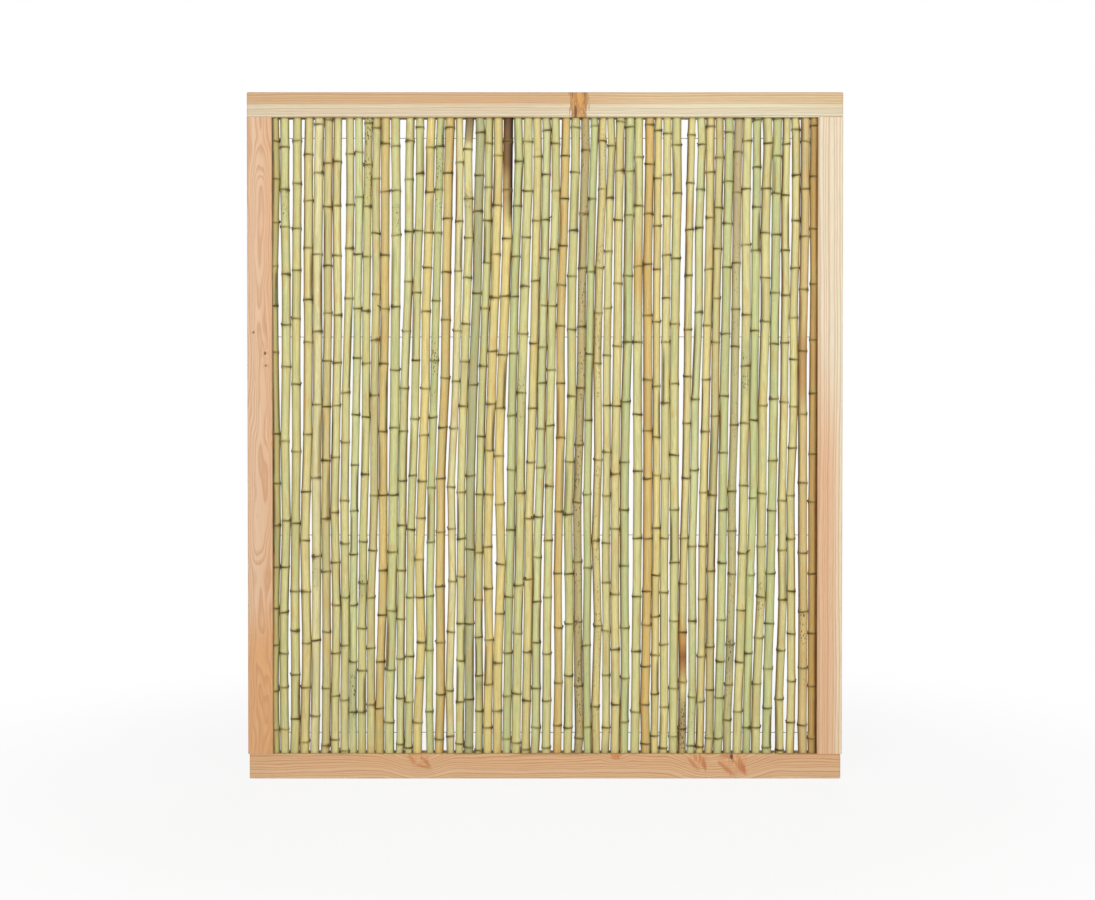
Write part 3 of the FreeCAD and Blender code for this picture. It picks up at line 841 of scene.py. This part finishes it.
@dataclass
class CaneRow:
    """The row of wired canes: each solid's own line, made round and grown out in rings and buds."""

    sides: int = 22
    corners: int = 8
    wires: int = 4
    wire_radius: float = 1.0
    growth_play: tuple[float, float] = (0.86, 1.14)
    middle_spacing: float = 164.0
    end_spacing: float = 118.0
    spacing_play: float = 0.12
    end_nodes: int = 3
    node_jog: float = 0.6
    end_margin: float = 14.0
    wire_margin: float = 8.0
    ring_step: float = 34.0
    out_of_round: float = 0.012
    swells: tuple[float, float] = (0.75, 1.35)
    furrow_depth: float = 0.55
    furrow_spread: float = 0.5
    scar_depths: tuple[float, float] = (0.55, 1.0)
    scar_tilt: float = 0.07
    scar_waves: tuple[float, float] = (0.2, 0.9)
    bud_front: float = 0.4
    bud_play: float = 0.6
    bud_spot: float = 0.5
    spot_levels: tuple[float, ...] = (0.0, 0.45, 0.9)
    shades: tuple[float, float] = (0.93, 1.06)
    ripenings: tuple[Tone, ...] = (Tone.STRAW_GREEN, Tone.YELLOW, Tone.GREEN)
    lean_share: float = 0.25
    grain_shifts: tuple[float, float, float] = (61.7, 37.3, 900.0)
    dirt_levels: tuple[float, ...] = (0.0, 0.0, 0.3, 0.6, 0.95)
    dirt_spread: float = 0.3
    soils: tuple[str, ...] = ("#5A3416", "#3A2E16", "#6A4A20")
    # Painted shade at the canes' sides: its strengths, where it starts round the cane and its colour.
    side_shade_levels: tuple[float, float] = (0.25, 0.85)
    side_shade_from: float = 0.68
    side_shade_colour: str = "#4C401F"
    # How strong the painted shade on one side of each cane can be.
    shade_flank_levels: tuple[float, ...] = (0.0, 0.0, 0.55, 0.9)
    common_mould: float = 0.05
    bark: str = "#4A3A18"
    bark_mould: float = 0.3
    bark_scar: float = 0.8
    bark_gap: float = 2.0
    stub_share: float = 0.6
    stub_sides: int = 9
    stub_girths: tuple[float, float] = (1.8, 3.0)
    stub_lengths: tuple[float, float] = (2.2, 4.0)
    stub_slopes: tuple[float, float] = (0.5, 0.9)
    stub_depth: float = 1.6
    twig_size: tuple[float, float] = (1.3, 14.0)
    twig_slope: float = 0.55
    seed: int = 56
    # Height above a node and how far the skin stands out there: sheath scar, groove, then the upper ridge.
    node_profile: tuple[tuple[float, float], ...] = (
        (-22.0, 0.0), (-11.0, 0.16), (-5.5, 0.45), (-2.6, 1.0), (-1.1, 1.8), (-0.2, 1.65),
        (0.8, 0.9), (2.0, 1.35), (4.0, 0.9), (8.0, 0.4), (15.0, 0.14), (25.0, 0.0),
    )

    def axes(self, node: bpy.types.Object, first: int) -> list[CaneAxis]:
        """Read the lines of a solid's canes.

        Args:
            node: The CAD node, which holds some canes side by side.
            first: The number of its leftmost cane.

        Returns:
            The canes' lines, from left to right.
        """
        shell = bmesh.new()
        shell.from_mesh(node.data)
        bmesh.ops.remove_doubles(shell, verts=shell.verts, dist=WELD)
        unseen = set(shell.verts)
        found = []
        while unseen:
            reached = [unseen.pop()]
            for vert in reached:
                for edge in vert.link_edges:
                    other = edge.other_vert(vert)
                    if other in unseen:
                        unseen.remove(other)
                        reached.append(other)
            found.append(self.axis_of([vert.co / MM for vert in reached]))
        shell.free()
        found.sort(key=lambda axis: axis.centres[0][0])
        for place, axis in enumerate(found):
            axis.number = first + place
        return found

    def axis_of(self, points: list[Vector]) -> CaneAxis:
        """Sort one cane's corner points into level sections.

        Args:
            points: The solid's corners in millimetres, its wire holes' corners among them.

        Returns:
            The cane's line, not numbered yet.
        """
        levels: dict[int, list[Vector]] = {}
        for point in points:
            levels.setdefault(round(point.z * 10), []).append(point)
        # The round cane has the same area as its eight-sided section.
        to_round = math.sqrt(math.sin(math.tau / self.corners) * self.corners / math.tau)
        heights, centres, radii = [], [], []
        for key in sorted(levels):
            section = levels[key]
            if len(section) != self.corners:
                continue
            middle = sum(section, Vector()) / self.corners
            heights.append(middle.z)
            centres.append((middle.x, middle.y))
            radii.append(sum((point - middle).length for point in section) / self.corners * to_round)
        return CaneAxis(0, heights, centres, radii)

    @property
    def wire_heights(self) -> list[float]:
        """Heights of the wires, in millimetres."""
        return [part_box(f"wire_{row}")[0].z / MM + self.wire_radius for row in range(1, self.wires + 1)]

    def with_nodes(self, axis: CaneAxis, chance: random.Random) -> CaneAxis:
        """Add the plain nodes that lie between a cane's bends.

        Args:
            axis: The cane's line, with levels at its ends and bends.
            chance: The cane's own random numbers.

        Returns:
            The line with a level at each node as well.
        """
        growth = chance.uniform(*self.growth_play)
        bottom, top = axis.heights[0], axis.heights[-1]
        bends = axis.heights[1:-1]
        plain = []
        for low, high in zip(bends, bends[1:]):
            from_middle = abs((low + high) / (bottom + top) - 1)
            spacing = growth * (self.middle_spacing + (self.end_spacing - self.middle_spacing) * from_middle)
            parts = max(1, round((high - low) / spacing))
            for k in range(1, parts):
                play = chance.uniform(-self.spacing_play, self.spacing_play)
                plain.append(low + (high - low) * (k + play) / parts)
        ends = range(1, self.end_nodes + 1)
        plain += [bends[0] - growth * self.end_spacing * k for k in ends]
        plain += [bends[-1] + growth * self.end_spacing * k for k in ends]
        levels = dict(zip(axis.heights, axis.centres))
        for height in plain:
            wire = min(self.wire_heights, key=lambda level: abs(level - height))
            if abs(height - wire) < self.wire_margin:
                height = wire + math.copysign(self.wire_margin, height - wire)
            if bottom + self.end_margin < height < top - self.end_margin:
                x, y, _ = axis.at(height)
                jog = chance.uniform(-self.node_jog, self.node_jog)
                levels[height] = (x + jog, y + chance.uniform(-self.node_jog, self.node_jog))
        heights = sorted(levels)
        radii = [axis.at(height)[2] for height in heights]
        return CaneAxis(axis.number, heights, [levels[height] for height in heights], radii)

    def stations(self, axis: CaneAxis, swells: list[float]) -> list[tuple[float, float, float]]:
        """List the rings of points that a cane's skin needs.

        Args:
            axis: The cane's line.
            swells: How much each node stands out, as a share of the common node.

        Returns:
            For each ring its height, how far it stands out and its height above the nearest node.
        """
        bottom, top = axis.heights[0], axis.heights[-1]
        nodes = axis.heights[1:-1]
        rings = {bottom: 0.0, top: 0.0}
        for node, swell in zip(nodes, swells):
            for lift, rise in self.node_profile:
                if bottom < node + lift < top:
                    rings[node + lift] = rise * swell
        for low, high in zip(axis.heights, axis.heights[1:]):
            start, end = low + self.node_profile[-1][0], high + self.node_profile[0][0]
            steps = max(1, round((end - start) / self.ring_step))
            for step in range(1, steps):
                rings[start + (end - start) * step / steps] = 0.0
        return [
            (height, rings[height], min((height - node for node in nodes), key=abs))
            for height in sorted(rings)
        ]

    def stained(self, axis: CaneAxis, height: float, angle: float, tint: tuple) -> tuple[tuple, float]:
        """Lay a cane's stains over its colour at a point.

        Args:
            axis: The cane.
            height: Height in millimetres.
            angle: The angle from the panel's right, in radians.
            tint: The cane's own linear colour there.

        Returns:
            The linear colour, with how bare of stain it is as its alpha, and the amount of mould.
        """
        colour, mould = tint, self.common_mould
        for stain in STAINS:
            if stain.cane == axis.number:
                reach = stain.reach(height, axis.heights[-1])
                colour = mixed(colour, linear(stain.colour)[:3] + (0.0,), stain.depth(angle) * reach)
                mould = max(mould, stain.mould * reach)
        return colour, mould

    def grow_ring(self, axis: CaneAxis, look: CaneLook, station: tuple, skin: SkinMesh) -> range:
        """Build one ring of a cane's skin.

        Args:
            axis: The cane's line.
            look: What chance gave the cane.
            station: The ring's height, how far it stands out and its height above the nearest node.
            skin: The mesh that takes it.

        Returns:
            The ring's points.
        """
        height, rise, gap = station
        x, y, radius = axis.at(height)
        nodes = axis.heights[1:-1]
        below = sum(1 for node in nodes if node < height - 0.5)
        start, end = axis.heights[below], axis.heights[below + 1]
        share = (height - start) / (end - start)
        near = min(range(len(nodes)), key=lambda i: abs(nodes[i] - height))
        furrow = self.furrow_depth * smooth_step(share, 0.02, 0.1) * (1 - smooth_step(share, 0.5, 0.95))
        tilt = look.tilts[near] * (1 - smooth_step(abs(gap), 4, 40))
        wave, phase = look.waves[near]
        wave *= 1 - smooth_step(abs(gap), 3, 14)
        at_end = height in (axis.heights[0], axis.heights[-1])
        points, scars, colours = [], [], []
        for k in range(self.sides):
            angle = math.tau * k / self.sides
            hollow = furrow * bell(turn_from(look.buds[below], angle), self.furrow_spread) if below else 0.0
            reach = radius * (1 + self.out_of_round * math.cos(2 * (angle - look.oval))) + rise - hollow
            local = Vector((reach * math.cos(angle), reach * math.sin(angle), 0.0))
            lift = 0.0 if at_end else tilt * local.x + wave * math.sin(2 * angle + phase)
            points.append(Vector((x, y, height + lift)) + local)
            scars.append(look.scars[near] * (0.75 + 0.25 * math.cos(angle - look.buds[near + 1])))
            tint = look.tint(angle, below, near, gap, share)
            colours.append(self.stained(axis, height, angle, tint))
        return skin.ring(points, (x, y), look.offset, abs(gap), scars, colours)

    def grow(self, axis: CaneAxis, skin: SkinMesh) -> None:
        """Build one cane's skin with its nodes and cut branch stubs.

        Args:
            axis: The cane's line.
            skin: The mesh that takes it.
        """
        chance = random.Random(self.seed * 1000 + axis.number)
        axis = self.with_nodes(axis, chance)
        nodes = axis.heights[1:-1]
        look = CaneLook(self, axis.number, len(nodes), chance)
        skin.tube([self.grow_ring(axis, look, station, skin) for station in self.stations(axis, look.swells)])
        for node, bud in zip(nodes, look.buds[1:]):
            if chance.random() < self.stub_share:
                size = (chance.uniform(*self.stub_girths), chance.uniform(*self.stub_lengths))
                self.grow_stub(axis, node, bud, size, chance.uniform(*self.stub_slopes), skin, look.offset)
        for cane, height, bud in TWIGS:
            if cane == axis.number:
                node = min(nodes, key=lambda level: abs(level - height))
                self.grow_stub(axis, node, bud, self.twig_size, self.twig_slope, skin, look.offset)

    def grow_stub(
        self, axis: CaneAxis, node: float, bud: float, size: tuple[float, float], slope: float,
        skin: SkinMesh, offset: Vector,
    ) -> None:
        """Build the cut stub of a side branch just above a node.

        Args:
            axis: The cane's line.
            node: The node's height in millimetres.
            bud: The branch's direction round the cane.
            size: The branch's radius and the length that is left of it, in millimetres.
            slope: How steeply it points up, in radians.
            skin: The mesh that takes the stub.
            offset: The cane's shift in the grain's own space.
        """
        x, y, radius = axis.at(node)
        girth, length = size
        level = Vector((math.cos(bud), math.sin(bud), 0.0))
        out = Vector((math.cos(bud) * math.cos(slope), math.sin(bud) * math.cos(slope), math.sin(slope)))
        along = Vector((-math.sin(bud), math.cos(bud), 0.0))
        up = out.cross(along) * -1
        root = Vector((x, y, node + self.stub_depth)) + level * (radius - self.stub_depth)
        scars = [self.bark_scar] * self.stub_sides
        colours = [(linear(self.bark), self.bark_mould)] * self.stub_sides
        rings = []
        # A flared foot, the plain branch and the blunt edge of the cut.
        for reach, width in ((0.0, 1.35), (1.5, 1.15), (length, 0.95), (length + 1.4, 0.7)):
            points = []
            for k in range(self.stub_sides):
                turn = math.tau * k / self.stub_sides
                spoke = along * math.cos(turn) + up * math.sin(turn)
                points.append(root + out * reach + spoke * (girth * width))
            rings.append(skin.ring(points, (x, y), offset, self.bark_gap, scars, colours))
        skin.tube(rings)

    def build(self, finish: bpy.types.Material) -> None:
        """Build all canes, one piece for each CAD node of the row.

        Args:
            finish: The canes' material.
        """
        number = 1
        for name in sorted(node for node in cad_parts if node.startswith("canes_")):
            skin = SkinMesh()
            lines = self.axes(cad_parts[name], number)
            for axis in lines:
                self.grow(axis, skin)
            make_piece("round", name, skin.mesh(f"round_{name}"), finish, SkinMesh.sharp_from)
            number += len(lines)


@dataclass
class WireRow:
    """The galvanised wires that thread the canes, a little wavy from the coil that they came off."""

    sides: int = 10
    step: float = 9.0
    wave: float = 0.22
    wave_lengths: tuple[float, float] = (41.0, 33.0)
    sharp_from: float = 55.0
    seed: int = 4

    def build(self, finish: bpy.types.Material) -> None:
        """Build a round wire for each of the row's straight ones.

        Args:
            finish: The zinc coat.
        """
        for name in sorted(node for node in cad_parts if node.startswith("wire_")):
            low, high = (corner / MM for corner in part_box(name))
            chance = random.Random(f"{self.seed}{name}")
            radius = (high.z - low.z) / 2
            shift = (chance.uniform(0, math.tau), chance.uniform(0, math.tau))
            shell = bmesh.new()
            rings = []
            steps = round((high.x - low.x) / self.step)
            for k in range(steps + 1):
                x = low.x + (high.x - low.x) * k / steps
                y = (low.y + high.y) / 2 + self.wave * math.sin(x / self.wave_lengths[0] + shift[0])
                z = (low.z + high.z) / 2 + self.wave * math.sin(x / self.wave_lengths[1] + shift[1])
                ring = []
                for side in range(self.sides):
                    turn = math.tau * side / self.sides
                    spoke = Vector((0.0, math.cos(turn), math.sin(turn))) * radius
                    ring.append(shell.verts.new((Vector((x, y, z)) + spoke) * MM))
                rings.append(ring)
            for left, right in zip(rings, rings[1:]):
                for side in range(self.sides):
                    after = (side + 1) % self.sides
                    shell.faces.new((left[side], right[side], right[after], left[after]))
            shell.faces.new(rings[0])
            shell.faces.new(reversed(rings[-1]))
            bmesh.ops.recalc_face_normals(shell, faces=shell.faces)
            mesh = bpy.data.meshes.new(f"round_{name}")
            shell.to_mesh(mesh)
            shell.free()
            make_piece("round", name, mesh, finish, self.sharp_from)


@dataclass
class TimberFrame:
    """The four grooved timbers, the rails' sawn ends eased by hand, and the nails through their corners."""

    ease: float = 3.2
    ease_steps: int = 4
    sharp_from: float = 35.0

    def finishes(self) -> dict[str, Softwood]:
        """List the four timbers' woods.

        Returns:
            The wood of each CAD node.
        """
        return {
            "top_rail": Softwood(
                "planed_larch_top_rail", Grain.ACROSS_PANEL, 1767.5, (170.0, 60.0),
                "#D3C6AA", "#CAA67B", "#B0804C", -10.0, 12.0, ring_width=4.6, wander=4.0, wander_length=520.0,
                knots=(
                    Knot(88.0, 12.0, 23.0, 76.0, "#CC964C", 0.92, "#8A4E16", 0.95, 1.0, 0.6),
                    Knot(92.0, 26.0, 13.0, 44.0, "#C98A3C", 0.0, "#9A5A1C", 0.8, 0.0, 0.7),
                    Knot(80.0, -20.0, 4.0, 20.0, "#5E2C10", 0.85, "#5E2C10", 0.4),
                ),
                patches=(
                    Patch(520.0, 24.0, 460.0, 50.0, "#D8C29A", 0.7),
                    Patch(470.0, -22.0, 480.0, 30.0, "#DAD4B8", 0.8),
                ),
            ),
            "bottom_rail": Softwood(
                "planed_larch_bottom_rail", Grain.ACROSS_PANEL, 32.5, (-150.0, 40.0),
                "#D3B088", "#D3AA80", "#AE7446", -25.0, 15.0, ring_width=6.4, wander=9.0, wander_length=300.0,
                knots=(
                    Knot(-334.0, 38.0, 32.0, 40.0, "#D09A5E", 0.35, "#B0703A", 0.25, 30.0),
                    Knot(186.0, 30.0, 14.0, 12.0, "#CC8440", 0.8, "#B46A34", 0.5, 12.0),
                    Knot(402.0, 44.0, 26.0, 54.0, "#D2A06C", 0.35, "#B4663A", 0.2, 24.0),
                    Knot(494.0, 46.0, 38.0, 70.0, "#D09A64", 0.4, "#B4663A", 0.2, 30.0),
                    Knot(490.0, 26.0, 4.0, 8.0, "#4A2412", 0.9, "#4A2412", 0.5),
                ),
                patches=(
                    Patch(-349.0, 18.0, 16.0, 5.0, "#BC743E", 0.8, -0.9, 0.5),
                    Patch(-314.0, 13.0, 23.0, 5.5, "#B8703C", 0.8, -0.85, 0.5),
                    Patch(-322.0, 0.0, 23.0, 4.5, "#BC743E", 0.7, -0.24, 0.4),
                    Patch(414.0, 12.0, 26.0, 7.5, "#B5632F", 0.85, -1.2, 0.5),
                    Patch(389.0, 7.0, 23.0, 5.0, "#C07642", 0.8, -0.8, 0.5),
                    Patch(396.0, 22.0, 16.0, 5.0, "#C07642", 0.8, -0.95, 0.5),
                    Patch(475.0, -5.0, 34.0, 6.0, "#C07642", 0.8, -0.72, 0.5),
                    Patch(477.0, 26.0, 18.0, 6.0, "#BC703E", 0.8, -0.3, 0.5),
                    Patch(500.0, 10.0, 20.0, 5.0, "#BC703E", 0.8, -0.9, 0.5),
                    Patch(516.0, 2.0, 29.0, 10.0, "#B5632F", 0.85, -1.15, 0.5),
                ),
            ),
            "left_stile": Softwood(
                "planed_larch_left_stile", Grain.UP_PANEL, -747.5, (3.0, 26.0),
                "#D7B595", "#D6AD87", "#BE875C", -14.0, 24.0, ring_width=3.0, wander=9.0, wander_length=340.0,
                knots=(
                    Knot(1118.0, 14.0, 5.0, 3.5, "#6A3A1C", 0.9, "#A86A3C", 0.6, 4.0),
                    Knot(1085.0, 16.0, 4.0, 3.0, "#7A4424", 0.8, "#A86A3C", 0.6, 3.0),
                    Knot(1172.0, -16.0, 4.0, 3.0, "#7A4424", 0.8, "#A86A3C", 0.6, 3.0),
                ),
                patches=(Patch(210.0, 0.0, 250.0, 80.0, "#D1995F", 0.75),),
            ),
            "right_stile": Softwood(
                "planed_larch_right_stile", Grain.UP_PANEL, 747.5, (-190.0, 20.0),
                "#D7B08B", "#DFCEAE", "#BE8058", 2.0, 28.0, ring_width=8.2, late_strength=0.5, wander=5.0,
                wander_length=500.0,
                patches=(Patch(1480.0, 6.0, 620.0, 80.0, "#DFD6BB", 0.85),),
            ),
        }

    def eased(self, node: bpy.types.Object, axis: int) -> bpy.types.Mesh:
        """Copy a timber's mesh and round its two sawn ends.

        Args:
            node: The CAD node.
            axis: The number of the axis that the timber lies along.

        Returns:
            The new mesh.
        """
        shell = bmesh.new()
        shell.from_mesh(node.data)
        bmesh.ops.remove_doubles(shell, verts=shell.verts, dist=WELD)
        ease = self.ease * MM
        low = Vector(map(min, zip(*(vert.co for vert in shell.verts))))
        high = Vector(map(max, zip(*(vert.co for vert in shell.verts))))
        middle = (low + high) / 2
        normal = Vector((0.0, 0.0, 0.0))
        normal[axis] = 1.0
        for end, inward in ((low, 1.0), (high, -1.0)):
            for step in range(1, self.ease_steps + 1):
                cut = middle.copy()
                cut[axis] = end[axis] + inward * ease * (1 - math.cos(math.pi / 2 * step / self.ease_steps))
                everything = shell.verts[:] + shell.edges[:] + shell.faces[:]
                bmesh.ops.bisect_plane(shell, geom=everything, plane_co=cut, plane_no=normal, dist=1e-7)
        sides = [k for k in range(3) if k != axis]
        for vert in shell.verts:
            inset = min(vert.co[axis] - low[axis], high[axis] - vert.co[axis])
            if inset >= ease:
                continue
            back = ease - math.sqrt(max(ease * ease - (ease - inset) ** 2, 0.0))
            for k in sides:
                half = (high[k] - low[k]) / 2
                vert.co[k] = middle[k] + (vert.co[k] - middle[k]) * (half - back) / half
        mesh = bpy.data.meshes.new(f"eased_{node.name}")
        shell.to_mesh(mesh)
        shell.free()
        return mesh

    def build(self, zinc: bpy.types.Material) -> None:
        """Build the timbers and dress the nails.

        Args:
            zinc: The nails' coat.
        """
        for name, wood in self.finishes().items():
            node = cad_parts[name]
            finish = wood.material()
            if wood.grain is Grain.ACROSS_PANEL:
                mesh = self.eased(node, 0)
            else:
                mesh = node.data.copy()
                mesh.materials.clear()
            make_piece("planed", name, mesh, finish, self.sharp_from)
        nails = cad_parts["corner_nails"]
        nails.data.materials.clear()
        nails.data.materials.append(zinc)
        LOG.info("corner_nails: dressed")


@dataclass(frozen=True)
class Lamp:
    """A soft square lamp: its place and its side in metres, and its power in watts."""

    name: str
    place: tuple[float, float, float]
    size: float
    watts: float

    def build(self, aim: tuple[float, float, float]) -> None:
        """Hang the lamp.

        Args:
            aim: The point that it faces.
        """
        light = bpy.data.lights.new(self.name, "AREA")
        light.size = self.size
        light.energy = self.watts
        lamp = bpy.data.objects.new(self.name, light)
        lamp.location = self.place
        lamp.rotation_euler = (Vector(aim) - Vector(self.place)).to_track_quat("-Z", "Y").to_euler()
        bpy.context.scene.collection.objects.link(lamp)


@dataclass
class Studio:
    """White floor, soft lamps and the camera at the panel's middle."""

    camera_place: tuple[float, float, float] = (0.0065, -4.5, 1.03)
    camera_pitch: float = -0.8
    lens: float = 56.15
    shift_y: float = -0.036
    sensor_width: float = 36.0
    floor_half: float = 30.0
    floor_colour: str = "#F2F2F2"
    floor_roughness: float = 0.9
    floor_white: float = 0.86
    shadow_reach: tuple[float, float] = (0.9, 2.2)
    fill: float = 0.3
    aim: tuple[float, float, float] = (0.0, 0.0, 0.9)
    lamps: tuple[Lamp, ...] = (
        Lamp("key_lamp", (-0.9, -5.4, 2.5), 3.0, 179.0),
        Lamp("side_lamp", (3.0, -4.8, 1.8), 2.4, 67.0),
        Lamp("back_lamp", (0.9, 5.2, 2.6), 3.0, 70.0),
    )

    def build(self) -> None:
        """Build the floor, the lamps, the world and the camera."""
        self.build_floor()
        for lamp in self.lamps:
            lamp.build(self.aim)
        self.build_world()
        self.build_camera()
        LOG.info("studio: floor, lamps, world and camera")

    @staticmethod
    def seen(node: NodeAdder) -> bpy.types.NodeSocket:
        """Tell rays that show a thing from those that only carry its light.

        Args:
            node: Adds a node to the tree.

        Returns:
            1 for camera, glossy and transmission rays, and 0 for the others.
        """
        ray = node("LightPath").node.outputs
        straight = node("Math", {0: ray["Is Camera Ray"], 1: ray["Is Glossy Ray"]}, operation="MAXIMUM")
        return node("Math", {0: straight, 1: ray["Is Transmission Ray"]}, operation="MAXIMUM")

    def build_floor(self) -> None:
        """Build the floor, which looks white and keeps the panel's shadow."""
        made, shader, node = new_material("white_studio_floor")
        set_inputs(shader, {"Base Color": linear(self.floor_colour), "Roughness": self.floor_roughness})
        white = node("Emission", {"Color": WHITE, "Strength": 1.0})
        away = node("VectorMath", {0: node("TexCoord", out="Object")}, operation="LENGTH")
        near, far = self.shadow_reach
        pale = node("MapRange", {0: away, 1: near, 2: far, 3: self.floor_white, 4: 1.0}, **SOFT)
        share = node("Math", {0: self.seen(node), 1: pale}, operation="MULTIPLY")
        both = node("MixShader", {0: share, 1: shader.outputs[0], 2: white})
        set_inputs(made.node_tree.nodes["Material Output"], {"Surface": both})
        mesh = bpy.data.meshes.new("studio_floor")
        half = self.floor_half
        corners = [(-half, -half, 0), (half, -half, 0), (half, half, 0), (-half, half, 0)]
        mesh.from_pydata(corners, [], [(0, 1, 2, 3)])
        mesh.materials.append(made)
        floor = bpy.data.objects.new("studio_floor", mesh)
        bpy.context.scene.collection.objects.link(floor)

    def build_world(self) -> None:
        """Build a world that looks white and lights the panel softly."""
        world = bpy.data.worlds.new("white_studio")
        world.use_nodes = True
        bpy.context.scene.world = world
        node = partial(add_node, world.node_tree)
        level = node("MapRange", {0: self.seen(node), 1: 0.0, 2: 1.0, 3: self.fill, 4: 1.0})
        set_inputs(world.node_tree.nodes["Background"], {"Color": WHITE, "Strength": level})

    def build_camera(self) -> None:
        """Build the camera."""
        data = bpy.data.cameras.new("panel_camera")
        data.sensor_width = self.sensor_width
        data.lens = self.lens
        data.shift_y = self.shift_y
        camera = bpy.data.objects.new("panel_camera", data)
        camera.location = self.camera_place
        camera.rotation_euler = (math.radians(90.0 + self.camera_pitch), 0.0, 0.0)
        bpy.context.scene.collection.objects.link(camera)
        bpy.context.scene.camera = camera


def main() -> None:
    """Build the panel's pieces and the studio round them."""
    logging.basicConfig(level=logging.INFO, format="%(name)s: %(message)s")
    bpy.context.scene.view_settings.view_transform = "Standard"
    CaneRow().build(BambooSkin().material())
    WireRow().build(ZincedSteel("galvanised_wire").material())
    TimberFrame().build(ZincedSteel("galvanised_nail", zinc="#A9ABAD").material())
    Studio().build()


if __name__ == "__main__":
    main()
